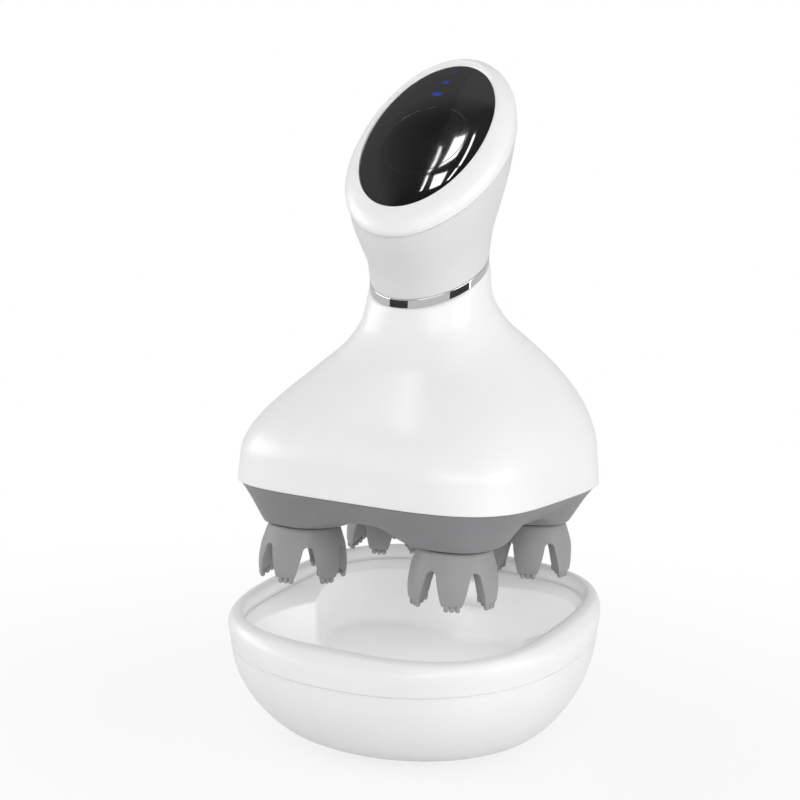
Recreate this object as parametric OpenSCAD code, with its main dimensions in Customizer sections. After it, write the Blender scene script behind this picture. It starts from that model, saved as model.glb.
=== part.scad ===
// Electric scalp massager with four kneading heads, lifted above its charging dock.
// The origin is at the centre of the dock's feet, and the control panel faces the front, -Y.
// The curved casings are stacks of superellipse sections. Each section is an upright prism cut by
// a plane that may fall toward the front, so that the ring, the collar and the panel lean forward.

/* [Shell] */
// Half width of the massager's shell across its flats
shell_w = 54; // [53:0.5:55]
// Height from the shell's lower edge to the chrome ring, on the axis
shell_h = 71.2; // [70:0.2:73]
// Squareness of the shell's lower edge, where 2 is round
shell_p = 3.98; // [3.7:0.02:4.2]
// Wall thickness of the moulded casings
wall = 2.2; // [1.8:0.1:2.4]
// Height of the massager's lower edge above the table when it is lifted
lift_h = 90; // [88:0.5:110]

/* [Handle] */
// Height of the chrome ring
ring_h = 2.9; // [2:0.1:4]
// Height of the neck from the chrome ring to the collar, on the axis
neck_h = 36.4; // [34:0.2:38]
// Radius of the neck at the chrome ring
neck_r = 20; // [19.5:0.1:21]
// Radius of the neck at the collar
collar_r = 27.9; // [27:0.1:29]
// Half width of the panel lens
panel_r = 22.1; // [21.5:0.1:23]
// Angle by which the panel faces forward
panel_tilt = 47.7; // [46:0.1:50]

/* [Power button] */
// Radius of the power button
button_r = 14.8; // [12:0.1:15.5]
// Distance of the button from the panel's centre, down the slope
button_drop = 2.7; // [2:0.1:4]
// Travel of the button
button_travel = 0.7; // [0.4:0.1:1]
// Spacing of the three indicator lights
light_step = 4.9; // [4:0.1:5]

/* [Heads] */
// Distance of each head from the two middle planes
head_x = 29; // [29:1:29]
// Number of claws on a head
claws = 6; // [4:1:7]
// Height of a head from its crown to its tips
head_h = 19; // [16:0.5:20]
// Outer radius of a head near its tips
head_r = 15.1; // [14:0.1:15.6]
// Radius of a head's shaft
shaft_r = 3; // [2.5:0.1:3.5]

/* [Gears] */
// Gear module
gear_m = 1; // [1:1:1]
// Teeth of the drive gear in the middle
drive_teeth = 52; // [52:1:52]
// Teeth of each head's gear
head_teeth = 30; // [30:1:30]
// Face width of the gears
gear_h = 6; // [4:0.5:7]

/* [Dock] */
// Half width of the dock at its seam
dock_w = 62; // [61:0.5:64]
// Height of the seam above the table, on the axis
seam_z = 37.4; // [36.5:0.1:38.5]
// Height of the rim's crest above the seam
rim_h = 10.8; // [10:0.1:12]
// Angle by which the rim falls toward the front
dock_tilt = 6.2; // [5:0.1:7]
// Height of the well's floor above the table
floor_z = 23.8; // [23:0.1:24.2]
// Distance of the charging pins behind the axis
pin_y = 40.5; // [40:0.1:41]
// Distance of each charging pin from the middle plane
pin_x = 4; // [3:0.5:5]

/* [Hidden] */
sides = 64;
fine = 96;
small = 32;
slip = 0.05;                                  // radial running clearance
wide = 200;                                   // larger than the object
cover_w = shell_w - 0.7;
cover_t = 1.6;
cover_p = 6.9;                                // squareness of the cover's underside
pod_z = -13.6;                                // underside of the pods, from the shell's edge
pod_r = 13.9;
vault_z = -8.7;                               // underside of the cover between the pods
pod_blend = 13;
foot_w = head_x + pod_r;                      // half width of the cover's underside
crown_z = pod_z - 0.6;
tip_z = crown_z - head_h;
nub_h = 2;
nub_r = 0.95;
claw_t = 5.4;                                 // radial thickness of a claw
hub_r = 8.6;
hub_t = 2.4;
crown_t = 4.4;
bush_r = 5;
seal_r = 5.4;
shell_off = 1.3;                              // forward shift of the shell at the ring
ring_tilt = 28;
ring_off = 1.5;
neck_z = shell_h + ring_h;
collar_z = neck_z + neck_h;
collar_tilt = 43.3;
collar_off = 3.2;
panel_z = collar_z + 7.8;
panel_off = 7.6;
lens_t = 1.8;
guide_low = -7.9;                             // underside of the guide, from the panel's face
first_light = [-3.6, 18.4];                     // across and up from the lens's middle
light_slant = 1.2;
gear_z = 3;
deck_z = 11;                                  // underside of the gear deck
deck_t = 2.5;
frame_z = -0.4;                               // step between the frame's plate and its flange
frame_low = -3.4;
flange_t = 1.5;
sunk = 1.6;                                   // depth of the frame screws' counterbores
bush_low = -11.6;
post_x = 33.5;
boss_x = 43;
drive_r = 3;                                  // radius of the drive shaft
gearbox_z = deck_z + deck_t;
gearbox_h = 15;
motor_z = gearbox_z + gearbox_h;
motor_h = 28;
cell_r = 9.2;
cell_z = motor_z + motor_h + 3.5;
cell_h = 35;
board_t = 1.6;
dock_wall = 1.8;
tray_t = 1.3;
board_z = 14;                                 // underside of the dock's board
well_r = 40;                                  // the well's radius between the heads
lobe = 17;                                    // how far the well widens at each head
foot_x = 27;                                  // distance of the dock's feet from the axis
foot_r = 5;
foot_t = 1.7;
dock_post = 18;                               // distance of the dock's screws from the axis
mouth_w = 53;                                 // half width of the rim's mouth
ledge_w = 57.4;                               // half width of the ledge, inside the rim
ledge_z = seam_z + 2.3;                       // height of the ledge in the middle
half_tilt = dock_tilt / 2;
well_in = 1.2;                                // how far the well's mouth is outside its outline
well_out = 2.65;
well_reach = 70;                              // more than the well's half width
split_z = 20.5;                               // height where the dock's side meets its bottom
pad_r = 2.2;
pad_t = 2;
pad_z = vault_z - 0.3;
docked_drop = lift_h - floor_z + tip_z - 0.8;
pin_top = lift_h - docked_drop + pad_z - 0.1;
pin_r = 0.9;
pin_head = 1.5;
block_z = pin_top - 1.6;
head_places = [[-1, -1, -21], [1, -1, -3], [-1, 1, -12], [1, 1, -6]];   // side, side, turn of the claws

// Profiles: each row is a height fraction, or a height, and a half width
bell_line = [[0, 54], [0.1, 53.6], [0.22, 52.8], [0.34, 49.4], [0.46, 43.2], [0.58, 34.8],
    [0.7, 26], [0.82, 20.9], [0.91, 19.9], [1, 19.8]];
neck_line = [[0, 20], [0.25, 21.2], [0.5, 23.9], [0.75, 26.4], [1, 27.9]];
collar_line = [[0, 27.9], [0.3, 28.1], [0.55, 27.5], [0.78, 25.9], [0.93, 24.2], [1, 23.2]];
bowl_line = [[1, 33], [3, 40], [6.7, 47], [14.3, 54], [22, 58.5], [29.7, 61], [37.4, 62]];
band_line = [[0, 62], [0.37, 62], [0.65, 61], [0.83, 59.4], [0.95, 57.6], [1, 55.5]];

// Smooth curve through a profile's rows
function row(l, x, i = 0) = (i >= len(l) - 2 || x <= l[i + 1][0]) ? i : row(l, x, i + 1);
function rise(l, i) = let (a = l[max(i - 1, 0)], b = l[min(i + 1, len(l) - 1)])
    (b[1] - a[1]) / (b[0] - a[0]);
function curve(l, x) = let (i = row(l, x), h = l[i + 1][0] - l[i][0], u = (x - l[i][0]) / h,
        v = u * u, c = v * u, m0 = rise(l, i) * h, m1 = rise(l, i + 1) * h)
    (2 * c - 3 * v + 1) * l[i][1] + (c - 2 * v + u) * m0
    + (3 * v - 2 * c) * l[i + 1][1] + (c - v) * m1;
function mix(a, b, t) = a + (b - a) * t;
function steps(n) = [for (i = [0 : n]) i / n];
function back(l) = [for (i = [len(l) - 1 : -1 : 0]) l[i]];

// Radius of a superellipse, and the ring of points where its prism meets a leaning plane
function super_r(a, w, p) = w * pow(pow(abs(cos(a)), p) + pow(abs(sin(a)), p), -1 / p);
function angle(i) = 360 * i / sides;
function ring(w, p, z, tilt = 0, off = 0) = [for (i = [0 : sides - 1])
    let (a = angle(i), r = super_r(a, w, p))
    [r * cos(a), r * sin(a) - off, z + r * sin(a) * tan(tilt)]];

// The well's outline: wide at the four heads and drawn in between them
function clover(grow, z, tilt = 0) = [for (i = [0 : sides - 1])
    let (a = angle(i), r = well_r + grow + lobe * pow(abs(sin(2 * a)), 1.5))
    [r * cos(a), r * sin(a), z + r * sin(a) * tan(tilt)]];

// A closed skin over a list of rings, with both ends capped or joined to each other
module skin(rings, joined = false) {
    n = len(rings[0]);
    m = len(rings);
    walls = [for (k = [0 : m - (joined ? 1 : 2)], i = [0 : n - 1])
        let (j = (i + 1) % n, u = (k + 1) % m)
        each [[k * n + i, u * n + i, u * n + j], [k * n + i, u * n + j, k * n + j]]];
    caps = joined ? [] : [[for (i = [0 : n - 1]) i], [for (i = [n - 1 : -1 : 0]) (m - 1) * n + i]];
    polyhedron(points = [for (r = rings) each r], faces = concat(walls, caps), convexity = 6);
}

module outline(w, p) {
    polygon([for (i = [0 : sides - 1]) let (a = angle(i)) super_r(a, w, p) * [cos(a), sin(a)]]);
}

module lifted() { translate([0, 0, lift_h]) children(); }
module on_panel() { translate([0, -panel_off, panel_z]) rotate([panel_tilt, 0, 0]) children(); }
module at_button() { on_panel() translate([0, -button_drop, 0]) children(); }
module at_flats(x) { for (a = [0 : 90 : 270]) rotate(a) translate([x, 0, 0]) children(); }
module at_heads() { for (i = [0 : 3]) at_head(i) children(); }
module at_head(i) {
    translate([head_places[i][0] * head_x, head_places[i][1] * head_x, 0]) children();
}

module tube(r_out, r_in, h) {
    difference() {
        cylinder(r = r_out, h = h, $fn = fine);
        translate([0, 0, -1]) cylinder(r = r_in, h = h + 2, $fn = fine);
    }
}

// ---------------------------------------------------------------- massager casings

function bell(t, inset) = let (w = curve(bell_line, t) * shell_w / bell_line[0][1],
        p = 2 + (shell_p - 2) * pow(1 - t, 0.52), bulge = 1.5 * sin(180 * t))
    ring(w - inset, p, shell_h * t, ring_tilt * pow(t, 1.37), shell_off * t + bulge);

module upper_shell() {
    color("white") lifted() {
        skin(concat([for (t = steps(16)) bell(t, 0)], [for (t = back(steps(10))) bell(t, wall)]), true);
        at_flats(boss_x) translate([0, 0, frame_z + flange_t]) difference() {
            union() {
                cylinder(r = 3.6, h = 8.9, $fn = small);
                translate([2, -1.2, 0.5]) cube([7.2, 2.4, 8.4]);
            }
            translate([0, 0, -1]) cylinder(r = 1.3, h = 8, $fn = small);
        }
    }
}

module shell_seal() {
    color("dimgray") lifted() translate([0, 0, 0.2]) linear_extrude(0.9) difference() {
        outline(shell_w - wall - 0.15, shell_p);
        outline(shell_w - wall - 0.9, shell_p);
    }
}

module ring_slab(z, h) {
    translate([0, -ring_off, z]) rotate([ring_tilt, 0, 0])
        translate([-wide / 2, -wide / 2, 0]) cube([wide, wide, h]);
}

module chrome_ring() {
    color("silver") lifted() intersection() {
        translate([0, -ring_off, 0]) tube(neck_r + 0.1, neck_r - wall, collar_z);
        ring_slab(shell_h, ring_h * cos(ring_tilt));
    }
}

function neck(t, inset) = let (fit = mix(neck_r - neck_line[0][1], collar_r - collar_line[0][1], t))
    ring(curve(neck_line, t) + fit - inset, 2, neck_z + neck_h * t,
        mix(ring_tilt, collar_tilt, t), mix(ring_off, collar_off, t));

module neck_shell() {
    color("white") lifted()
        skin(concat([for (t = steps(8)) neck(t, 0)], [for (t = back(steps(5))) neck(t, wall - 0.2)]), true);
}

function collar_ring(w, t, up = 0) = ring(w, 2, mix(collar_z, panel_z, t) + up,
    mix(collar_tilt, panel_tilt, t), mix(collar_off, panel_off, t));

module collar() {
    seat = (lens_t + 0.05) / cos(panel_tilt);
    color("white") lifted() skin(concat(
        [for (t = steps(8)) collar_ring(curve(collar_line, t), t, 0.5 * t)],
        [collar_ring(panel_r + 0.5, 1, 0.35), collar_ring(panel_r + 0.1, 1)],
        [collar_ring(panel_r + 0.1, 1, -seat), collar_ring(panel_r - 0.9, 1, -seat),
         collar_ring(panel_r - 0.9, 1, -seat - 1), collar_ring(panel_r + 1.6, 0.6, -seat),
         collar_ring(collar_r - wall, 0.1)],
        [collar_ring(collar_r - wall, 0)]), true);
}

// ---------------------------------------------------------------- panel and button

module panel_prism(r, low, high) {
    intersection() {
        translate([0, -panel_off, 0]) cylinder(r = r, h = wide, $fn = fine);
        on_panel() translate([-wide / 2, -wide / 2, low]) cube([wide, wide, high - low]);
    }
}

module at_lights() {
    for (i = [0 : 2]) on_panel()
        translate(first_light + i * [light_slant, light_step]) children();
}

module panel_lens() {
    color("black") lifted() difference() {
        panel_prism(panel_r, -lens_t, 0);
        at_button() translate([0, 0, -5]) cylinder(r = button_r + slip, h = 10, $fn = fine);
    }
}

module panel_guide() {
    color("gainsboro") lifted() difference() {
        panel_prism(panel_r - 1.6, guide_low, -lens_t);
        at_button() translate([0, 0, -9]) cylinder(r = button_r + 1.4, h = 9, $fn = fine);
        at_lights() translate([0, 0, -9]) cylinder(r = 1.1, h = 9, $fn = small);
    }
}

module panel_board() {
    color("seagreen") lifted() panel_prism(panel_r - 2.4, guide_low - board_t, guide_low);
}

module indicator_lights() {
    color("royalblue") lifted() at_lights() translate([-0.6, -0.6, guide_low]) cube([1.2, 1.2, 1.4]);
}

module button_switch() {
    color("dimgray") lifted() at_button() {
        translate([-3, -3, guide_low]) cube([6, 6, 1.7]);
        translate([0, 0, -6.2]) cylinder(r = 1.7, h = 0.4, $fn = small);
    }
}

module power_button() {
    color("black") lifted() at_button() {
        translate([0, 0, -lens_t - 0.1]) cylinder(r = button_r, h = lens_t + 0.1, $fn = fine);
        translate([0, 0, -lens_t - 1]) cylinder(r = button_r + 1, h = 0.9, $fn = fine);
        translate([0, 0, button_travel - 5.75])
            cylinder(r = 1.8, h = 5.25 - button_travel - lens_t, $fn = small);
    }
}

// ---------------------------------------------------------------- inside the massager

module battery_cell() {
    color("mediumseagreen") lifted() translate([0, 0, cell_z]) {
        cylinder(r = cell_r, h = cell_h, $fn = fine);
        translate([0, 0, cell_h]) cylinder(r = 3, h = 1, $fn = small);
    }
}

module battery_holder() {
    color("gainsboro") lifted() translate([0, 0, cell_z - 2]) {
        cylinder(r = 15.5, h = 2, $fn = fine);
        translate([0, 0, 2]) tube(cell_r + 1.4, cell_r + 0.1, 26);
    }
}

module control_board() {
    color("seagreen") lifted() translate([-8, 11.4, cell_z]) cube([16, board_t, 42]);
}

module motor() {
    color("silver") lifted() translate([0, 0, motor_z]) {
        cylinder(r = 12.5, h = motor_h - 2, $fn = fine);
        translate([0, 0, motor_h - 2]) cylinder(r = 5, h = 2, $fn = small);
    }
}

module gearbox() {
    color("lightgray") lifted() translate([0, 0, gearbox_z]) difference() {
        cylinder(r = 16, h = gearbox_h, $fn = fine);
        translate([0, 0, -1]) cylinder(r = drive_r + slip, h = 7, $fn = fine);
    }
}

module gear_deck() {
    color("slategray") lifted() translate([0, 0, deck_z]) difference() {
        linear_extrude(deck_t) outline(46, 3.2);
        translate([0, 0, -1]) cylinder(r = 6, h = 5, $fn = fine);
        at_heads() translate([0, 0, -1]) cylinder(r = shaft_r + slip, h = 5, $fn = fine);
        at_flats(post_x) translate([0, 0, -1]) cylinder(r = 1.6, h = 5, $fn = small);
    }
}

module pan_screw(length, r, head_r, head_t) {
    cylinder(r = r, h = length, $fn = small);
    translate([0, 0, length]) difference() {
        cylinder(r = head_r, h = head_t, $fn = small);
        for (a = [0, 90]) rotate(a) translate([-head_r * 0.6, -0.3, head_t - 0.6])
            cube([head_r * 1.2, 0.6, 1]);
    }
}

module deck_screws() {
    color("silver") lifted() at_flats(post_x)
        translate([0, 0, deck_z - 6]) pan_screw(6 + deck_t, 1.2, 2.5, 1.6);
}

module lower_frame() {
    color("slategray") lifted() difference() {
        union() {
            translate([0, 0, frame_low]) linear_extrude(frame_z - frame_low) outline(46.6, 4.2);
            translate([0, 0, frame_z]) linear_extrude(flange_t) outline(shell_w - wall - 1.2, shell_p);
            at_heads() translate([0, 0, bush_low]) cylinder(r = bush_r + 2, h = 9, $fn = fine);
            at_flats(post_x) translate([0, 0, 1]) cylinder(r = 3, h = deck_z - 1, $fn = small);
        }
        at_heads() translate([0, 0, bush_low - 1]) cylinder(r = bush_r, h = 16, $fn = fine);
        at_flats(boss_x) translate([0, 0, -5]) cylinder(r = 1.7, h = 10, $fn = small);
        at_flats(boss_x) translate([0, 0, frame_low - 1]) cylinder(r = 2.9, h = sunk + 1, $fn = small);
        at_flats(post_x) translate([0, 0, deck_z - 7]) cylinder(r = 1.2, h = 9, $fn = small);
        for (s = [-1, 1]) translate([s * pin_x, pin_y, -5]) cylinder(r = 1.6, h = 10, $fn = small);
    }
}

module frame_screws() {
    color("silver") lifted() at_flats(boss_x)
        translate([0, 0, frame_low + sunk + 8]) mirror([0, 0, 1]) pan_screw(8, 1.3, 2.6, 1.5);
}

function near_head(x, y) = norm([abs(x) - head_x, abs(y) - head_x]);
function pod(x, y) = let (u = min(1, max(0, (near_head(x, y) - pod_r) / pod_blend)))
    1 - u * u * (3 - 2 * u);
function under(w, p, up) = [for (q = ring(w, p, 0)) [q[0], q[1],
    vault_z + up + (pod_z - vault_z) * pod(q[0], q[1])]];
function side(t, inset, up) = let (foot = under(foot_w - inset, cover_p, up),
        edge = ring(cover_w - inset, shell_p, -0.2))
    [for (i = [0 : sides - 1]) [mix(foot[i][0], edge[i][0], t), mix(foot[i][1], edge[i][1], t),
        mix(foot[i][2], edge[i][2], t)]];

module silicone_cover() {
    shrink = [0.2, 0.5, 0.68, 0.82, 0.93];
    color("gray") lifted() difference() {
        union() {
            skin(concat(
                [for (s = shrink) under(foot_w * s, mix(3, cover_p, s), 0)],
                [for (t = [0, 0.33, 0.66, 1]) side(t, 0, 0)],
                [for (t = [1, 0.5, 0]) side(t, cover_t + 0.1, cover_t)],
                [for (s = back(shrink)) under((foot_w - cover_t) * s, mix(3, cover_p, s), cover_t)]));
            at_heads() translate([0, 0, pod_z]) rotate_extrude($fn = fine)
                polygon([[0, 0], [pod_r - 0.8, 0], [pod_r - 0.2, 0.25], [pod_r, 0.8], [pod_r, 1.5],
                    [0, 1.5]]);
        }
        at_heads() translate([0, 0, pod_z - 1]) cylinder(r = seal_r, h = 6, $fn = fine);
        for (s = [-1, 1]) translate([s * pin_x, pin_y, -12]) cylinder(r = pad_r, h = 6, $fn = small);
    }
}

module head_bushes() {
    color("goldenrod") lifted() at_heads() translate([0, 0, bush_low])
        tube(bush_r, shaft_r + slip, frame_z + flange_t - bush_low);
}

module shaft_seals() {
    color("dimgray") lifted() at_heads() translate([0, 0, pod_z])
        tube(seal_r, shaft_r + slip, 2);
}

module contact_pads() {
    color("gold") lifted() for (s = [-1, 1]) translate([s * pin_x, pin_y, pad_z]) {
        cylinder(r = pad_r, h = pad_t, $fn = small);
        cylinder(r = 1, h = 7, $fn = small);
    }
}

// ---------------------------------------------------------------- gears and heads

// Involute flank: the angle swept, in degrees, where the involute reaches a radius
function unroll(r, base) = let (a = acos(min(1, base / r))) tan(a) * 180 / PI - a;
function flank(z, side) = let (r_p = gear_m * z / 2, base = r_p * cos(20), tip = r_p + gear_m,
        low = max(base, r_p - gear_m), play = 0.07,
        half = 90 / z - play * 180 / PI / r_p + unroll(r_p, base))
    [for (t = [0, 0.35, 0.7, 1]) let (r = mix(low, tip, t), a = side * (half - unroll(r, base)))
        [r, a]];
function tooth(z, at) = let (root = gear_m * z / 2 - 1.25 * gear_m)
    [for (q = concat([[root, -90 / z - 0.8]], flank(z, -1), back(flank(z, 1)), [[root, 90 / z + 0.8]]))
        q[0] * [cos(q[1] + at), sin(q[1] + at)]];

module spur(z, bore, h) {
    difference() {
        linear_extrude(h) polygon([for (i = [0 : z - 1]) each tooth(z, 360 * i / z)]);
        translate([0, 0, -1]) cylinder(r = bore, h = h + 2, $fn = fine);
    }
}

module drive_gear() {
    color("ivory") lifted() translate([0, 0, gear_z]) difference() {
        union() {
            spur(drive_teeth, drive_r, gear_h);
            translate([0, 0, gear_h]) tube(5.5, drive_r, 1);
        }
        for (a = [22.5 : 45 : 337.5]) rotate(a) translate([15, 0, -1])
            cylinder(r = 3.6, h = gear_h + 2, $fn = small);
    }
}

module drive_shaft() {
    color("silver") lifted() translate([0, 0, gear_z])
        cylinder(r = drive_r, h = gearbox_z + 5 - gear_z, $fn = fine);
}

module head_gear(i) {
    facing = atan2(-head_places[i][1], -head_places[i][0]);
    color("ivory") lifted() at_head(i) translate([0, 0, gear_z]) rotate(facing) difference() {
        spur(head_teeth, shaft_r, gear_h);
        for (a = [30 : 60 : 330]) rotate(a) translate([8.5, 0, -1])
            cylinder(r = 2.4, h = gear_h + 2, $fn = small);
    }
}

module head_shaft(i) {
    low = crown_z - crown_t + 1;
    color("silver") lifted() at_head(i) translate([0, 0, low])
        cylinder(r = shaft_r, h = deck_z + deck_t - low, $fn = fine);
}

module head_hub(i) {
    color("whitesmoke") lifted() at_head(i) translate([0, 0, crown_z - crown_t]) difference() {
        union() {
            cylinder(r = hub_r, h = hub_t, $fn = fine);
            cylinder(r = 6, h = crown_t, $fn = fine);
        }
        translate([0, 0, 1]) cylinder(r = shaft_r, h = 5, $fn = fine);
    }
}

module claw_arch(r_top, r_low, h) {
    translate([0, 0, -h]) rotate([90, 0, 90]) linear_extrude(head_r + 6) {
        translate([0, h]) circle(r = r_top, $fn = small);
        polygon([[-r_top, h], [r_top, h], [r_low, -4], [-r_low, -4]]);
    }
}

module claw_head(i) {
    arch_z = -7.9;
    claw_z = nub_h - head_h;
    outside = [[12.2, -0.5], [12.9, -2.5], [13.8, -5], [14.6, -8.5], [head_r, -12.5],
        [head_r, claw_z + 1], [head_r - 0.5, claw_z]];
    inside = [[head_r - claw_t, claw_z], [head_r - claw_t, -12], [9.6, -8], [8.4, -5.6],
        [6, -crown_t]];
    color("gray") lifted() at_head(i) translate([0, 0, crown_z]) rotate(head_places[i][2]) difference() {
        union() {
            difference() {
                rotate_extrude($fn = fine) polygon(concat([[6, 0], [11.2, 0]], outside, inside));
                for (k = [0 : claws - 1]) rotate(360 * (k + 0.5) / claws)
                    translate([4, 0, arch_z]) claw_arch(1.9, 4.1, 10);
            }
            for (k = [0 : claws - 1], s = [-1, 1], r = [-1.15, 1.15]) rotate(360 * k / claws)
                translate([head_r - claw_t / 2 + r, s * 1.35, nub_r - head_h]) {
                    sphere(r = nub_r, $fn = small);
                    cylinder(r = nub_r, h = nub_h, $fn = small);
                }
        }
        translate([0, 0, -crown_t]) cylinder(r = hub_r, h = hub_t, $fn = fine);
    }
}

// ---------------------------------------------------------------- dock

bowl_top = bowl_line[6];                      // height and half width at the seam
function bowl(z, inset) = let (t = (z - 1) / (bowl_top[0] - 1))
    ring(curve(bowl_line, z) * dock_w / bowl_top[1] - inset, 2 + 0.23 * t,
        z * seam_z / bowl_top[0], dock_tilt * t);

module at_feet() { rotate(45) at_flats(foot_x) children(); }

module dock_bottom_shell() {
    heights = [1, 2, 3.6, 6, 9, 13, split_z];
    inner = [split_z, 15, 9, 5];
    color("white") difference() {
        union() {
            skin(concat([for (z = heights) bowl(z, 0)],
                [for (z = inner) bowl(z, dock_wall)], [ring(37, 2, 3.2)]));
            for (x = [-8, 8], y = [28, 42]) translate([x, y, 2.6])
                cylinder(r = 2, h = board_z - 2.6, $fn = small);
        }
        at_feet() translate([0, 0, -1]) cylinder(r = foot_r, h = foot_t + 1, $fn = fine);
        at_flats(dock_post) cylinder(r = 1.5, h = 5, $fn = small);
        at_flats(dock_post) translate([0, 0, -1]) cylinder(r = 2.9, h = 3.2, $fn = small);
        translate([-4.6, 48, board_z + board_t]) cube([9.2, 20, 3.4]);
    }
}

module dock_side() {
    low = split_z + slip;
    color("white") skin(concat([for (z = [low, 25, 30.5, bowl_top[0]]) bowl(z, 0)],
        [for (z = [bowl_top[0], 30.5, 25, low]) bowl(z, dock_wall)]), true);
}

module dock_rim() {
    function band(t, inset) = ring(curve(band_line, t) * dock_w / bowl_top[1] - inset,
        2.23 + 0.67 * t * t, seam_z + rim_h * t, dock_tilt);
    function lip(w, p, z) = ring(w, p, seam_z + z, dock_tilt);
    color("white") skin(concat(
        [for (t = [0, 0.2, 0.37, 0.52, 0.65, 0.75, 0.83, 0.9, 0.95, 1]) band(t, 0)],
        [lip(mouth_w + 1.4, 3, rim_h - 0.25), lip(mouth_w + 0.5, 3.15, rim_h - 1.1),
         lip(mouth_w + 0.1, 3.25, 8), lip(mouth_w, 3.3, 5.6),
         lip(mouth_w + 2, 3.1, 5.6), lip(mouth_w + 2.4, 3, 8)],
        [band(0.6, 2), band(0.35, 2.1), band(0, 2.1)]), true);
}

module dock_tray() {
    color("whitesmoke") difference() {
        skin([
            clover(well_out, ledge_z - 5 + slip, half_tilt), clover(1.5 + tray_t, ledge_z - 4, half_tilt),
            clover(1.8 + tray_t, ledge_z - 1.6, dock_tilt),
            ring(ledge_w, 2.7, seam_z + 3.9, dock_tilt), ring(ledge_w, 2.7, seam_z + 5.5, dock_tilt),
            ring(mouth_w - 0.2, 3.3, seam_z + 5.2, dock_tilt),
            clover(1.9, ledge_z + 0.3, dock_tilt), clover(1.5, ledge_z - 0.4, dock_tilt),
            clover(well_in, ledge_z - 5 + slip, half_tilt)], true);
        contact_body(0.05);
    }
}

module dock_floor() {
    color("whitesmoke") difference() {
        union() {
            skin([clover(-4, floor_z - tray_t), clover(-1, floor_z - tray_t + 0.4),
                clover(-0.1, floor_z - slip)]);
            at_flats(dock_post) translate([0, 0, 3.4]) cylinder(r = 3.6, h = floor_z - 4, $fn = small);
        }
        at_flats(dock_post) translate([0, 0, 2]) cylinder(r = 1.1, h = 14, $fn = small);
    }
}

// The quarter of the well's wall that goes round one head
module well_wall(i) {
    side = [head_places[i][0], head_places[i][1], 0];
    color("whitesmoke") intersection() {
        skin([clover(0.3, floor_z), clover(1.5, floor_z + 3),
            clover(well_out, ledge_z - 5, half_tilt), clover(well_in, ledge_z - 5, half_tilt),
            clover(0.4, floor_z + 2.8), clover(0, floor_z + 0.9), clover(-0.7, floor_z)], true);
        translate(side * (well_reach + slip) / 2 + [0, 0, floor_z])
            cube([well_reach, well_reach, lift_h], center = true);
    }
}

module contact_body(grow) {
    low = block_z - 9;
    translate([-8 - grow, pin_y - 3 - grow, low]) cube([16 + 2 * grow, 11 + 2 * grow, block_z - low]);
}

module contact_block() {
    color("gainsboro") difference() {
        contact_body(0);
        for (s = [-1, 1]) translate([s * pin_x, pin_y, 0]) {
            cylinder(r = pin_r + slip, h = lift_h, $fn = small);
            cylinder(r = pin_head + slip, h = block_z - 1, $fn = small);
        }
    }
}

module charging_pin(s) {
    color("gold") translate([s * pin_x, pin_y, 0]) {
        translate([0, 0, block_z - 5]) cylinder(r = pin_r, h = pin_top - block_z + 5, $fn = small);
        translate([0, 0, block_z - 2]) cylinder(r = pin_head, h = 0.95, $fn = small);
    }
}

module dock_feet() {
    color("dimgray") at_feet() cylinder(r = foot_r, h = foot_t, $fn = fine);
}

module dock_screws() {
    color("silver") at_flats(dock_post) translate([0, 0, 11]) mirror([0, 0, 1])
        pan_screw(8.8, 1.1, 2.6, 1.4);
}

module dock_board() {
    color("seagreen") translate([-11, 25, board_z]) cube([22, 23, board_t]);
}

module charging_inlet() {
    color("silver") translate([0, 0, board_z + board_t]) difference() {
        translate([-4.5, 45.5, 0]) cube([9, 9, 3.3]);
        translate([-4, 47, 0.5]) cube([8, 9, 2.3]);
    }
}

dock_bottom_shell();
dock_side();
dock_rim();
dock_tray();
dock_floor();
well_wall(0);  // well_front_left
well_wall(1);  // well_front_right
well_wall(2);  // well_back_left
well_wall(3);  // well_back_right
dock_feet();
dock_screws();
dock_board();
charging_inlet();
contact_block();
charging_pin(-1);  // charging_pin_left
charging_pin(1);  // charging_pin_right
upper_shell();
shell_seal();
chrome_ring();
neck_shell();
collar();
panel_lens();
panel_guide();
panel_board();
indicator_lights();
button_switch();
power_button();
battery_cell();
battery_holder();
control_board();
motor();
gearbox();
gear_deck();
deck_screws();
lower_frame();
frame_screws();
silicone_cover();
head_bushes();
shaft_seals();
contact_pads();
drive_gear();
drive_shaft();
for (i = [0 : 3]) {
    name = ["front_left", "front_right", "back_left", "back_right"][i];
    claw_head(i);
    head_hub(i);
    head_shaft(i);
    head_gear(i);
}
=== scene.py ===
import math

import bmesh
import bpy
import numpy as np
from mathutils import Matrix, Vector


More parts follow.
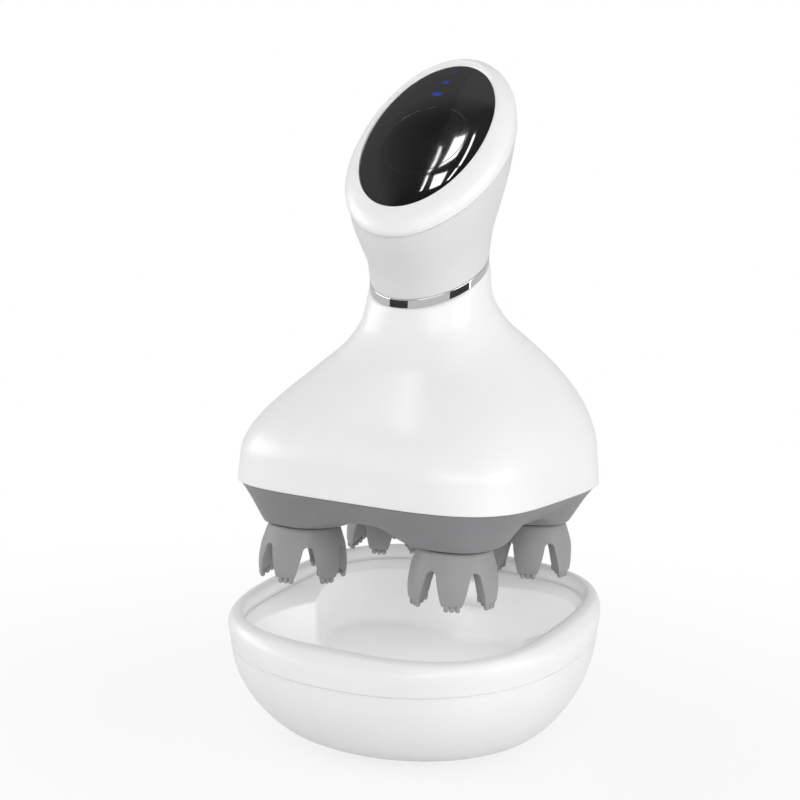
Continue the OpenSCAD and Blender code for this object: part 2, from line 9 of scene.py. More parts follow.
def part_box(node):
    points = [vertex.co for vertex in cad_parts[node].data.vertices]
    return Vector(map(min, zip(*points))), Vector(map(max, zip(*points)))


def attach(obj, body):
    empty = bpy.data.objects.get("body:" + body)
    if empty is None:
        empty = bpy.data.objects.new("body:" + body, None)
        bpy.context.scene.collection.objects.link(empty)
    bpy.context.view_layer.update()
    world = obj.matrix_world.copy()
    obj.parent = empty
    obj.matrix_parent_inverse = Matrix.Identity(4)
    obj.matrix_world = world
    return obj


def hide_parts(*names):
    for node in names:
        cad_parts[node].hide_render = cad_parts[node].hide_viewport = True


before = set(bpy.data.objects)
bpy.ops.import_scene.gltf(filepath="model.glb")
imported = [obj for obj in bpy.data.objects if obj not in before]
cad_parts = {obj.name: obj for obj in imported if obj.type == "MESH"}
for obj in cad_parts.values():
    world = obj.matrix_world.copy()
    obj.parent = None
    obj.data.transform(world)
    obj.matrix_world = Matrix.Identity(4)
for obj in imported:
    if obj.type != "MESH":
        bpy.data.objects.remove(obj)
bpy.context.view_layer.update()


# ---------------------------------------------------------------- camera
# The photograph's viewpoint: a long lens level with the panel, about 29 degrees to the object's
# right, looking slightly down and turned a little about its own axis.
view_data = bpy.data.cameras.new("view")
view_data.sensor_width = 36
view_data.lens = 78.76
view_data.clip_start = 0.01
camera = bpy.data.objects.new("view", view_data)
bpy.context.collection.objects.link(camera)
look = Vector((-0.4828, 0.8654, -0.1343)).normalized()
camera.matrix_world = (Matrix.Translation((0.2831, -0.5254, 0.19834))
                       @ look.to_track_quat("-Z", "Y").to_matrix().to_4x4()
                       @ Matrix.Rotation(0.0446, 4, "Z"))
bpy.context.scene.camera = camera
bpy.context.scene.view_settings.view_transform = "Standard"


# ---------------------------------------------------------------- studio
# A white sweep and plain softboxes: one on each side, one in front, a faint one overhead and a
# small one in the gap over the dock. Their level is kept low, so that white plastic keeps its
# shading. What gloss mirrors is a pale room with a dark ceiling panel.
class Wire:
    """A socket of a node tree. Arithmetic on it adds Math nodes, and add() makes any other node."""

    def __init__(self, tree, socket=None):
        self.tree, self.socket = tree, socket

    def add(self, kind, settings=None, sockets=None, out=0):
        node = self.tree.nodes.new(kind)
        for key, value in (settings or {}).items():
            setattr(node, key, value)
        for key, value in (sockets or {}).items():
            if isinstance(value, Wire):
                self.tree.links.new(value.socket, node.inputs[key])
            else:
                node.inputs[key].default_value = value
        return Wire(self.tree, node.outputs[out] if len(node.outputs) else None)

    def out(self, name):
        return Wire(self.tree, self.socket.node.outputs[name])

    def math(self, operation, *terms):
        return self.add("ShaderNodeMath", {"operation": operation}, dict(enumerate(terms)))

    def __add__(self, other):
        return self.math("ADD", self, other)

    def __sub__(self, other):
        return self.math("SUBTRACT", self, other)

    def __rsub__(self, other):
        return self.math("SUBTRACT", other, self)

    def __mul__(self, other):
        return self.math("MULTIPLY", self, other)

    def __truediv__(self, other):
        return self.math("DIVIDE", self, other)

    __radd__ = __add__
    __rmul__ = __mul__

    def clamp(self, low, high):
        """This value, eased from 0 at low to 1 at high."""
        return self.add("ShaderNodeMapRange", {"interpolation_type": "SMOOTHSTEP"},
                        {"Value": self, "From Min": low, "From Max": high})


def new_material(name):
    material = bpy.data.materials.new(name)
    material.use_nodes = True
    material.node_tree.nodes.clear()
    return material, Wire(material.node_tree)


def add_mesh(name, points, faces, material):
    """An object at the origin from points in millimetres, smooth shaded."""
    mesh = bpy.data.meshes.new(name)
    mesh.from_pydata((np.asarray(points, float).reshape(-1, 3) / 1000).tolist(), [], faces)
    mesh.polygons.foreach_set("use_smooth", [True] * len(mesh.polygons))
    mesh.materials.append(material)
    thing = bpy.data.objects.new(name, mesh)
    bpy.context.collection.objects.link(thing)
    return thing


sweep, w = new_material("white_sweep")
rays = w.add("ShaderNodeLightPath")
seen = w.math("MAXIMUM", rays.out("Is Camera Ray"), rays.out("Is Glossy Ray"))
place = w.add("ShaderNodeTexCoord", out="Object")
away = w.add("ShaderNodeVectorMath", {"operation": "LENGTH"}, {0: place}, "Value")
paper = w.add("ShaderNodeBsdfDiffuse", None, {"Color": (0.86, 0.86, 0.86, 1)})
glow = w.add("ShaderNodeEmission", None, {
    "Color": (1, 1, 1, 1), "Strength": 1 - 0.3 * rays.out("Is Glossy Ray")})
share = seen * (0.8 + 0.2 * away.clamp(0.06, 0.34))
surface = w.add("ShaderNodeMixShader", None, {0: share, 1: paper, 2: glow})
w.add("ShaderNodeOutputMaterial", None, {"Surface": surface})
floor_reach = 4000
floor = add_mesh("floor", [(x * floor_reach, y * floor_reach, 0)
                           for x, y in ((-1, -1), (1, -1), (1, 1), (-1, 1))],
                 [(0, 1, 2, 3)], sweep)

world = bpy.data.worlds.new("studio")
bpy.context.scene.world = world
world.use_nodes = True
world.node_tree.nodes.clear()
w = Wire(world.node_tree)
rays = w.add("ShaderNodeLightPath")
way = w.add("ShaderNodeSeparateXYZ", None,
            {0: w.add("ShaderNodeTexCoord", out="Generated")})
x, y, z = way.out("X"), way.out("Y"), way.out("Z")
ceiling = (x.clamp(-0.54, -0.47) * (1 - x.clamp(-0.3, -0.1)) * y.clamp(-0.5, -0.4)
           * (1 - y.clamp(-0.06, -0.03)) * z.clamp(0.6, 0.75))
mirrored = rays.out("Is Glossy Ray") * (0.46 * ceiling + 0.05)
room = w.add("ShaderNodeBackground", None, {"Color": (1, 1, 1, 1), "Strength": 0.62 - mirrored})
white = w.add("ShaderNodeBackground", None, {"Color": (1, 1, 1, 1), "Strength": 1.0})
w.add("ShaderNodeOutputWorld", None, {"Surface": w.add(
    "ShaderNodeMixShader", None, {0: rays.out("Is Camera Ray"), 1: room, 2: white})})


def softbox(name, place, target, size, power):
    data = bpy.data.lights.new(name, "AREA")
    data.shape, data.size, data.size_y = "RECTANGLE", *size
    data.energy = power
    lamp = bpy.data.objects.new(name, data)
    bpy.context.collection.objects.link(lamp)
    aim = (Vector(target) - Vector(place)).to_track_quat("-Z", "Y").to_matrix().to_4x4()
    lamp.matrix_world = Matrix.Translation(place) @ aim
    return lamp


softbox("softbox_left", (-0.98, -0.36, 0.36), (0, 0, 0.08), (0.8, 0.5), 3.4)
softbox("softbox_right", (1.02, 0.1, 0.26), (0, 0, 0.08), (0.8, 0.4), 3.6)
softbox("softbox_top", (0.05, 0.1, 1.2), (0, 0, 0.1), (0.9, 0.9), 0.3)
softbox("softbox_front", (0.5, -0.92, 0.43), (0, 0, 0.03), (0.9, 0.5), 3.1)
softbox("fill_in_dock", (0, 0, 0.058), (0, 0.0001, 0), (0.07, 0.07), 0.011).visible_glossy = False

# Two black flags stand low down, left and right of the camera, for the polished ring to mirror.
black, w = new_material("flag_black")
w.add("ShaderNodeOutputMaterial", None, {"Surface": w.add(
    "ShaderNodeBsdfDiffuse", None, {"Color": (0.06, 0.06, 0.06, 1)})})
flag_away, flag_h = 800, 140
flag_points = [(flag_away * math.cos(math.radians(turn)),
                flag_away * math.sin(math.radians(turn)), z)
               for turn in (-140, -100, -20, 23) for z in (0, flag_h)]
flags = add_mesh("flags", flag_points, [(0, 2, 3, 1), (4, 6, 7, 5)], black)
flags.visible_camera = flags.visible_diffuse = flags.visible_shadow = False


# ---------------------------------------------------------------- upper shell
# The bell-shaped cover over the gear train, moulded in white ABS with a polished skin. Its lower
# edge is a rounded square and its top a circle, so each section is a superellipse that leans.
def bump(w, height, depth):
    """A normal from a height between 0 and 1, over a depth in millimetres."""
    return w.add("ShaderNodeBump", None, {
        "Height": height, "Distance": depth / 1000, "Strength": 1.0})


def moulded(name, colour, rough, coat, peel=0.006):
    """Moulded plastic: faint flow mottle, polish that varies, and a moulded skin's ripple."""
    material, w = new_material(name)
    place = w.add("ShaderNodeTexCoord", out="Object")
    flow = w.add("ShaderNodeTexNoise", None, {"Vector": place, "Scale": 38, "Detail": 4}, "Fac")
    ripple = w.add("ShaderNodeTexNoise", None, {"Vector": place, "Scale": 420, "Detail": 2}, "Fac")
    shade = w.add("ShaderNodeMix", {"data_type": "RGBA"}, {
        0: flow.clamp(0.3, 0.7), 6: (*[0.975 * c for c in colour], 1), 7: (*colour, 1)}, 2)
    skin = w.add("ShaderNodeBsdfPrincipled", None, {
        "Base Color": shade, "Roughness": rough + 0.06 * (flow - 0.5), "IOR": 1.5,
        "Coat Weight": coat, "Coat Roughness": 0.22, "Normal": bump(w, ripple, peel)})
    w.add("ShaderNodeOutputMaterial", None, {"Surface": skin})
    return material


def ring(width, power, z, tilt=0.0, off=0.0, count=256):
    """Points of a superellipse's upright prism where a leaning plane cuts it, in millimetres."""
    a = np.linspace(0, 2 * np.pi, count, endpoint=False)
    r = width * (np.abs(np.cos(a)) ** power + np.abs(np.sin(a)) ** power) ** (-1 / power)
    return np.stack([r * np.cos(a), r * np.sin(a) - off,
                     z + r * np.sin(a) * math.tan(math.radians(tilt))], 1)


def loft(name, rings, material, loop=False):
    """A skin of quads over rings of points, capped at both ends unless it closes on itself."""
    m, n = len(rings), len(rings[0])
    faces = [(k * n + i, k * n + (i + 1) % n, (k + 1) % m * n + (i + 1) % n, (k + 1) % m * n + i)
             for k in range(m if loop else m - 1) for i in range(n)]
    if not loop:
        faces += [tuple(range(n - 1, -1, -1)), tuple(range((m - 1) * n, m * n))]
    thing = add_mesh(name, np.concatenate(rings), faces, material)
    outwards(thing)
    return thing


def outwards(thing, merge=0.0):
    """Turns a closed mesh's faces outwards, after joining points that lie together."""
    work = bmesh.new()
    work.from_mesh(thing.data)
    if merge:
        bmesh.ops.remove_doubles(work, verts=work.verts, dist=merge / 1000)
    bmesh.ops.recalc_face_normals(work, faces=work.faces)
    work.to_mesh(thing.data)
    work.free()


def curve(rows, x):
    """The smooth line through a profile's rows of (place, half width)."""
    i = 0
    while i < len(rows) - 2 and x > rows[i + 1][0]:
        i += 1

    def rise(k):
        a, b = rows[max(k - 1, 0)], rows[min(k + 1, len(rows) - 1)]
        return (b[1] - a[1]) / (b[0] - a[0])

    step = rows[i + 1][0] - rows[i][0]
    u = (x - rows[i][0]) / step
    v, c = u * u, u * u * u
    return ((2 * c - 3 * v + 1) * rows[i][1] + (c - 2 * v + u) * rise(i) * step
            + (3 * v - 2 * c) * rows[i + 1][1] + (c - v) * rise(i + 1) * step)


def mix(a, b, t):
    return a + (b - a) * t


def settle(piece, body, slot, *nodes):
    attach(piece, body)
    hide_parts(*nodes)


lift = 90.0
bell_line = [(0, 54), (0.1, 53.6), (0.22, 52.8), (0.34, 49.4), (0.46, 43.2), (0.58, 34.8),
             (0.7, 26), (0.82, 20.9), (0.91, 19.9), (1, 19.8)]
shell_h, wall = 71.2, 2.2


def bell(t, inset=0.0, up=0.0):
    return ring(curve(bell_line, t) - inset, 2 + 1.98 * (1 - t) ** 0.52, lift + shell_h * t + up,
                28 * t ** 1.37, 1.3 * t + 1.5 * math.sin(math.pi * t))


shell_white = moulded("shell_white", (0.85, 0.85, 0.855), 0.33, 0.3)
edge = [bell(0, 0.45), bell(0, 0.13, 0.1), bell(0, 0.0, 0.4)]
outside = [bell(t) for t in np.linspace(0.012, 0.992, 110)]
top = [bell(1, 0.03, -0.25), bell(1, 0.12, -0.06), bell(1, 0.3)]
inside = [bell(t, wall) for t in np.linspace(1, 0, 28)]
shell = loft("upper_shell_skin", edge + outside + top + inside, shell_white, loop=True)
settle(shell, "massager", "shell_white", "upper_shell")


# ---------------------------------------------------------------- chrome ring
# A slim plated band that hides the joint between the shell and the handle. It leans forward with
# the handle, stands a hair proud of both, and its edges are rolled over.
def plated(name, colour, rough):
    """Bright plating: mirror metal with faint polishing haze."""
    material, w = new_material(name)
    place = w.add("ShaderNodeTexCoord", out="Object")
    haze = w.add("ShaderNodeTexNoise", None, {"Vector": place, "Scale": 160, "Detail": 3}, "Fac")
    metal = w.add("ShaderNodeBsdfPrincipled", None, {
        "Base Color": (*colour, 1), "Metallic": 1.0, "Roughness": rough + 0.03 * haze})
    w.add("ShaderNodeOutputMaterial", None, {"Surface": metal})
    return material


ring_h, ring_tilt, ring_off, ring_r, ring_in = 2.9, 28, 1.5, 20.1, 17.8
rolled = [(0.2, 0.0), (0.06, 0.03), (0.01, 0.1), (0.0, 0.2), (0.0, 0.3)]
band = ([(ring_in, 0.0)] + [(ring_r - back, z) for back, z in rolled]
        + [(ring_r - back, ring_h - z) for back, z in rolled[::-1]] + [(ring_in, ring_h)])
chrome = loft("chrome_band",
              [ring(r, 2, lift + shell_h + z, ring_tilt, ring_off) for r, z in band],
              plated("chrome_plate", (0.68, 0.69, 0.7), 0.015), loop=True)
settle(chrome, "massager", "chrome_trim", "chrome_ring")


# ---------------------------------------------------------------- neck and collar
# The handle is two white mouldings: the neck, which flares upwards from the ring, and the collar
# round the panel. They meet in a hairline seam, where both edges are slightly rounded.
neck_z, neck_h = shell_h + ring_h, 36.4
collar_z, collar_tilt, collar_off = neck_z + neck_h, 43.3, 3.2
panel_z, panel_tilt, panel_off, panel_r = collar_z + 7.8, 47.7, 7.6, 22.1
neck_line = [(0, 20), (0.25, 21.2), (0.5, 23.9), (0.75, 26.4), (1, 27.9)]
collar_line = [(0, 27.9), (0.3, 28.1), (0.55, 27.5), (0.78, 25.9), (0.93, 24.2), (1, 23.2)]


def neck(t, inset=0.0, up=0.0):
    return ring(curve(neck_line, t) - inset, 2, lift + neck_z + neck_h * t + up,
                mix(ring_tilt, collar_tilt, t), mix(ring_off, collar_off, t))


def collar_ring(width, t, up=0.0):
    return ring(width, 2, lift + mix(collar_z, panel_z, t) + up,
                mix(collar_tilt, panel_tilt, t), mix(collar_off, panel_off, t))


# The neck is the shell's white plastic, but its colour is set darker: painted shade, for the shade
# that falls on it under the collar.
neck_skin = loft("neck_skin", [neck(0, 0.3), neck(0, 0.1, 0.05), neck(0, 0.0, 0.25)]
                 + [neck(t) for t in np.linspace(0.015, 0.985, 60)]
                 + [neck(1, 0.02, -0.3), neck(1, 0.1, -0.1), neck(1, 0.3)]
                 + [neck(t, 2.0) for t in np.linspace(1, 0, 14)],
                 moulded("neck_white_painted_shade", (0.68, 0.68, 0.684), 0.33, 0.3), loop=True)
settle(neck_skin, "massager", "shell_white", "neck_shell")

seat = 1.85 / math.cos(math.radians(panel_tilt))
crest = [(0.75, 0.58), (0.5, 0.57), (0.3, 0.46), (0.17, 0.26), (0.12, 0.0), (0.1, -0.3)]
collar = loft("collar_skin", [collar_ring(27.6, 0), collar_ring(27.8, 0, 0.1),
                              collar_ring(27.9, 0, 0.3)]
              + [collar_ring(curve(collar_line, t), t, 0.48 * t) for t in np.linspace(0.04, 1, 60)]
              + [collar_ring(panel_r + r, 1, z) for r, z in crest]
              + [collar_ring(panel_r + 0.1, 1, -seat), collar_ring(panel_r - 0.9, 1, -seat),
                 collar_ring(panel_r - 0.9, 1, -seat - 1), collar_ring(panel_r + 1.6, 0.6, -seat),
                 collar_ring(25.7, 0.1), collar_ring(25.7, 0)], shell_white, loop=True)
settle(collar, "massager", "shell_white", "collar")


# ---------------------------------------------------------------- panel lens and button
# A piano-black lens with a slightly domed face, glued into the collar. The round button lies
# flush in a hole whose edge is finely rounded, so that only a thin arc shows. Three small lights
# glow through the lens.
lean = math.radians(panel_tilt)
panel_long = panel_r / math.cos(lean)
button_r, button_y = 14.8, -2.7
dome_fall, edge_fall = 0.1, 0.42
light_marks = [(-3.6, 18.4, 2.2, 1.0), (-2.5, 24.0, 1.6, 0.6), (-1.2, 29.2, 1.0, 0.25)]


def on_panel(x, y, z):
    """A point given across, up and out of the panel, as a place in the object."""
    return (x, y * math.cos(lean) - z * math.sin(lean) - panel_off,
            lift + panel_z + y * math.sin(lean) + z * math.cos(lean))


def dome(x, y):
    """How far the lens's face falls below its middle."""
    far = (x / panel_r) ** 2 + (y / panel_long) ** 2
    return -dome_fall * far - edge_fall * far ** 4


def panel_ring(grow, blend, low, domed=True):
    """A ring between the button's edge (blend 0) and the lens's edge (blend 1)."""
    points = []
    for a in np.linspace(0, 2 * np.pi, 256, endpoint=False):
        x = mix((button_r + grow) * math.cos(a), (panel_r + grow) * math.cos(a), blend)
        y = mix(button_y + (button_r + grow) * math.sin(a),
                (panel_long + grow) * math.sin(a), blend)
        points.append(on_panel(x, y, (dome(x, y) if domed else 0) + low))
    return np.array(points)


def piano_black(name, lights=False):
    """Black gloss lens. Where the lights lie behind it, the tinted plastic lets their blue out."""
    material, w = new_material(name)
    place = w.add("ShaderNodeTexCoord", out="Object")
    film = w.add("ShaderNodeTexNoise", None, {"Vector": place, "Scale": 60, "Detail": 3}, "Fac")
    sockets = {"Base Color": (0.006, 0.006, 0.007, 1), "Roughness": 0.02 + 0.02 * film, "IOR": 1.5}
    if lights:
        axes = w.add("ShaderNodeSeparateXYZ", None, {0: place})
        glow = None
        for x, y, reach, level in light_marks:
            x0, _, z0 = [c / 1000 for c in on_panel(x, y, 0)]
            across = w.math("ABSOLUTE", axes.out("X") - x0)
            along = w.math("ABSOLUTE", (axes.out("Z") - z0) / math.sin(lean))
            lit = ((1 - across.clamp(0.0003 * reach, 0.0011 * reach))
                   * (1 - along.clamp(0.0002, 0.0011)) * level)
            glow = lit if glow is None else glow + lit
        blue = w.add("ShaderNodeMix", {"data_type": "RGBA"},
                     {0: glow, 6: (0, 0, 0, 1), 7: (0.004, 0.024, 0.36, 1)}, 2)
        sockets.update({"Emission Color": blue, "Emission Strength": 1.0})
    lens = w.add("ShaderNodeBsdfPrincipled", None, sockets)
    w.add("ShaderNodeOutputMaterial", None, {"Surface": lens})
    return material


lens_t, gap_at_button = 1.8, 0.05
hole_edge = [(gap_at_button, -0.2), (0.09, -0.08), (0.19, -0.005), (0.23, 0), (0.28, 0)]
outer_edge = [(-0.22, 0), (-0.16, 0), (-0.05, -0.05), (0, -0.2)]
face = [panel_ring(grow, 0, low) for grow, low in hole_edge]
face += [panel_ring(hole_edge[-1][0] * (1 - t), t, 0) for t in np.linspace(0.04, 0.97, 36)]
face += [panel_ring(grow, 1, low) for grow, low in outer_edge]
face += [panel_ring(0, 1, -lens_t, False), panel_ring(gap_at_button, 0, -lens_t, False)]
lens = loft("panel_lens_face", face, piano_black("lens_black", lights=True), loop=True)
settle(lens, "massager", "panel_black", "panel_lens")


def button_ring(radius, low, domed=True):
    points = []
    for a in np.linspace(0, 2 * np.pi, 192, endpoint=False):
        x, y = radius * math.cos(a), button_y + radius * math.sin(a)
        points.append(on_panel(x, y, (dome(x, y) if domed else 0) + low))
    return np.array(points)


stem_r, flange_r, flange_top = 1.8, button_r + 1, -1.9
cap = [button_ring(r, z, False) for r, z in (
    (stem_r, -5.05), (stem_r, flange_top - 0.9), (flange_r, flange_top - 0.9),
    (flange_r, flange_top), (button_r, flange_top))]
cap += [button_ring(button_r - back, z) for back, z in (
    (0, -0.16), (0.03, -0.06), (0.09, 0), (0.12, 0))]
cap += [button_ring(r, 0) for r in np.linspace(button_r - 0.2, 0.4, 28)]
button = loft("power_button_cap", cap, piano_black("button_black"))
settle(button, "power_button", "panel_black", "power_button")


# ---------------------------------------------------------------- silicone cover
# The soft grey underside, moulded in one piece of silicone. It slopes in from the shell's edge
# and swells down to a round pod at each head, with arches between the pods.
def silicone(name, colour, rough=0.52):
    """Matte silicone: a soft, slightly dusty skin with a fine grain."""
    material, w = new_material(name)
    place = w.add("ShaderNodeTexCoord", out="Object")
    dust = w.add("ShaderNodeTexNoise", None, {"Vector": place, "Scale": 55, "Detail": 5}, "Fac")
    grain = w.add("ShaderNodeTexNoise", None, {"Vector": place, "Scale": 2600, "Detail": 2}, "Fac")
    shade = w.add("ShaderNodeMix", {"data_type": "RGBA"}, {
        0: dust.clamp(0.3, 0.7), 6: (*[0.93 * c for c in colour], 1), 7: (*colour, 1)}, 2)
    skin = w.add("ShaderNodeBsdfPrincipled", None, {
        "Base Color": shade, "Roughness": rough + 0.12 * (dust - 0.5), "IOR": 1.41,
        "Sheen Weight": 0.12, "Sheen Roughness": 0.4, "Normal": bump(w, grain, 0.008)})
    w.add("ShaderNodeOutputMaterial", None, {"Surface": skin})
    return material


def tree_of(name, inputs):
    """An empty geometry tree with named inputs. Gives the tree, its start and its inputs' names."""
    tree = bpy.data.node_groups.new(name, "GeometryNodeTree")
    tree.interface.new_socket("Geometry", in_out="INPUT", socket_type="NodeSocketGeometry")
    tree.interface.new_socket("Geometry", in_out="OUTPUT", socket_type="NodeSocketGeometry")
    keys = {}
    for label, kind in inputs.items():
        socket = tree.interface.new_socket(label, in_out="INPUT", socket_type="NodeSocket" + kind)
        keys[label] = socket.identifier
    return tree, Wire(tree).add("NodeGroupInput"), keys


def grow_from(thing, tree, keys, values, name):
    """Runs a geometry tree on an object and gives its result as a plain mesh object."""
    modifier = thing.modifiers.new(tree.name, "NODES")
    modifier.node_group = tree
    for label, value in values.items():
        modifier[keys[label]] = value
    graph = bpy.context.evaluated_depsgraph_get()
    mesh = bpy.data.meshes.new_from_object(thing.evaluated_get(graph))
    mesh.name = name
    made = bpy.data.objects.new(name, mesh)
    bpy.context.collection.objects.link(made)
    bpy.data.objects.remove(thing)
    return made


pod_z, pod_r, vault_z, head_x = -13.6, 13.9, -8.7, 29.0
cover_w, cover_t, foot_w = 53.3, 1.6, head_x + pod_r

pods, start, pods_in = tree_of("pods", {"Head distance": "Float", "Pod radius": "Float",
                                        "Blend": "Float", "Drop": "Float", "Skin": "Material"})
spot = start.add("GeometryNodeInputPosition")
axes = start.add("ShaderNodeSeparateXYZ", None, {0: spot})
from_head = [start.math("ABSOLUTE", axes.out(axis)) - start.out("Head distance") for axis in "XY"]
reach = start.math("SQRT", from_head[0] * from_head[0] + from_head[1] * from_head[1])
fall = ((reach - start.out("Pod radius")) / start.out("Blend")).clamp(0, 1)
weight = start.add("GeometryNodeInputNamedAttribute", {"data_type": "FLOAT"}, {"Name": "foot"})
drop = start.out("Drop") * (1 - fall) * weight
shift = start.add("ShaderNodeCombineXYZ", None, {"Z": drop * -1})
moved = start.add("GeometryNodeSetPosition", None, {"Geometry": start, "Offset": shift})
inked = start.add("GeometryNodeSetMaterial", None,
                  {"Geometry": start.add("GeometryNodeRealizeInstances", None, {0: moved}),
                   "Material": start.out("Skin")})
start.add("NodeGroupOutput", None, {0: inked})


def cover_rings(inset, up):
    """The cover's underside and flank as flat rings, and each ring's share in the underside."""
    rings, share = [], []
    for s in np.linspace(0.02, 1, 56):
        rings.append(ring((foot_w - inset) * s, mix(3, 6.9, s), lift + vault_z + up))
        share.append(1.0)
    foot, rim = rings[-1], ring(cover_w - inset, 3.98, lift - 0.2)
    for t in np.linspace(0.03, 1, 30):
        rings.append(mix(foot, rim, t))
        share.append(1 - t)
    return rings, share


lower, lower_share = cover_rings(0, 0)
upper, upper_share = cover_rings(cover_t, cover_t)
cover_grey = silicone("cover_grey", (0.235, 0.235, 0.242))
cover = loft("cover_blank", lower + upper[::-1], cover_grey)
foot = cover.data.attributes.new("foot", "FLOAT", "POINT")
foot.data.foreach_set("value", np.repeat(lower_share + upper_share[::-1], len(lower[0])))
cover = grow_from(cover, pods, pods_in, {
    "Head distance": head_x / 1000, "Pod radius": pod_r / 1000, "Blend": 0.013,
    "Drop": (vault_z - pod_z) / 1000, "Skin": cover_grey}, "silicone_cover_skin")
settle(cover, "massager", "cover_silicone", "silicone_cover")


# ---------------------------------------------------------------- claw heads
# Four soft silicone heads. Each is a cup with six claws, parted by round-topped arches. The claws'
# feet slope up towards the middle, and each foot carries three rows of small round-ended nubs.
crown_z, claws, arch_top = pod_z - 0.6, 6, -6.0
claw_out = [(0, 11.2), (0.5, 12.2), (2.5, 12.9), (5, 13.8), (8.5, 14.6), (12.5, 15.1), (17, 15.0)]
claw_in = [(4.4, 6.0), (5.6, 8.4), (8, 9.6), (12, 9.9), (17, 9.9)]
foot_out, foot_in = -17.0, -13.6
arch_r, arch_flare, toe_round, toe_share = 1.9, 0.27, 0.5, 0.07


def gap(z):
    """Half the width of the arch between two claws at a height."""
    deep = max(0.0, arch_top - z)
    if deep < arch_r:
        return math.sqrt(arch_r ** 2 - (arch_r - deep) ** 2)
    return arch_r + arch_flare * (deep - arch_r)


def claw_point(u, through, down):
    """A point of a claw: across (-1 to 1), through from outside to inside, and down."""
    z_out, z_in = mix(arch_top, foot_out, down), mix(arch_top, foot_in, down)
    r_out = curve(claw_out, -z_out) - toe_round * max(0.0, down - 1 + toe_share) / toe_share
    r_in = curve(claw_in, -z_in)
    r, z = mix(r_out, r_in, through), mix(z_out, z_in, through)
    half = math.pi / claws - math.asin(min(1, gap(z) / r))
    return r * math.cos(u * half), r * math.sin(u * half), z


def patch(rows):
    """Quads over a grid of points."""
    n = len(rows[0])
    faces = [(k * n + i, k * n + i + 1, (k + 1) * n + i + 1, (k + 1) * n + i)
             for k in range(len(rows) - 1) for i in range(n - 1)]
    return [p for row in rows for p in row], faces


across = [-1, -0.84, -0.5, -0.17, 0.17, 0.5, 0.84, 1]
through = [0, 0.1, 0.5, 0.9, 1]
downs = [arch_r * (1 - math.cos(math.radians(f))) / (arch_top - foot_out)
         for f in (0, 18, 36, 54, 72, 90)]
downs += [0.22, 0.32, 0.45, 0.6, 0.75, 0.88, 0.95, 1]
half_turn = math.pi / claws
over = [(6, 0), (9, 0), (11.2, 0), (11.9, -0.25), (12.3, -0.8), (12.75, -2.0), (13.4, -4.0)]
under = [(6, 0), (6, -2.2), (6, -4.4), (7.4, -5.0)]


def arc(r, z):
    return [(r * math.cos(u * half_turn), r * math.sin(u * half_turn), z) for u in across]


sheets = [[arc(r, z) for r, z in over] + [[claw_point(u, 0, d) for u in across] for d in downs],
          [arc(r, z) for r, z in under] + [[claw_point(u, 1, d) for u in across] for d in downs],
          [[claw_point(-1, s, d) for s in through] for d in downs],
          [[claw_point(1, s, d) for s in through] for d in downs],
          [[claw_point(u, s, 1) for u in across] for s in through]]
claw_points, claw_faces = [], []
for sheet in sheets:
    points, faces = patch(sheet)
    claw_faces += [tuple(len(claw_points) + i for i in face) for face in faces]
    claw_points += points

nub_r, nub_l, nub_root, nub_sides, nub_pitch = 0.88, 2.5, 0.9, 14, 1.85
nub_line = [(0.0, -nub_l)] + [(nub_r * math.sin(math.radians(f)),
                               nub_r * (1 - math.cos(math.radians(f))) - nub_l)
                              for f in (20, 45, 70, 90)] + [(nub_r, nub_root), (0.0, nub_root)]
nub_rings = [[(r * math.cos(a), r * math.sin(a), z)
              for a in np.linspace(0, 2 * np.pi, nub_sides + 1)] for r, z in nub_line]
nub_points, nub_faces = patch(nub_rings)

heads, start, heads_in = tree_of("claw_head", {
    "Claws": "Int", "Nub": "Object", "Nub seats": "Object", "Skin": "Material"})
joined = start.add("GeometryNodeMeshLine", {"mode": "OFFSET"},
                   {"Count": start.out("Claws"), "Offset": (0, 0, 0)})
index = start.add("GeometryNodeInputIndex")
turn = start.add("ShaderNodeCombineXYZ", None, {"Z": index * (2 * math.pi) / start.out("Claws")})
whorl = start.add("GeometryNodeInstanceOnPoints", None,
                  {"Points": joined, "Instance": start, "Rotation": turn})
body = start.add("GeometryNodeMergeByDistance", None, {
    "Geometry": start.add("GeometryNodeRealizeInstances", None, {0: whorl}), "Distance": 2e-5})
body = start.add("GeometryNodeSubdivisionSurface", None, {"Mesh": body, "Level": 2})
nub = start.add("GeometryNodeObjectInfo", None, {"Object": start.out("Nub")}, "Geometry")
seats = start.add("GeometryNodeObjectInfo", None, {"Object": start.out("Nub seats")}, "Geometry")
set_one = start.add("GeometryNodeInstanceOnPoints", None, {"Points": seats, "Instance": nub})
set_all = start.add("GeometryNodeInstanceOnPoints", None, {
    "Points": joined, "Instance": start.add("GeometryNodeRealizeInstances", None, {0: set_one}),
    "Rotation": turn})
both = start.add("GeometryNodeJoinGeometry", None, {0: body})
start.tree.links.new(set_all.socket, both.socket.node.inputs[0])
solid = start.add("GeometryNodeRealizeInstances", None, {0: both})
smooth = start.add("GeometryNodeSetShadeSmooth", None, {0: solid})
inked = start.add("GeometryNodeSetMaterial", None,
                  {"Geometry": smooth, "Material": start.out("Skin")})
start.add("NodeGroupOutput", None, {0: inked})

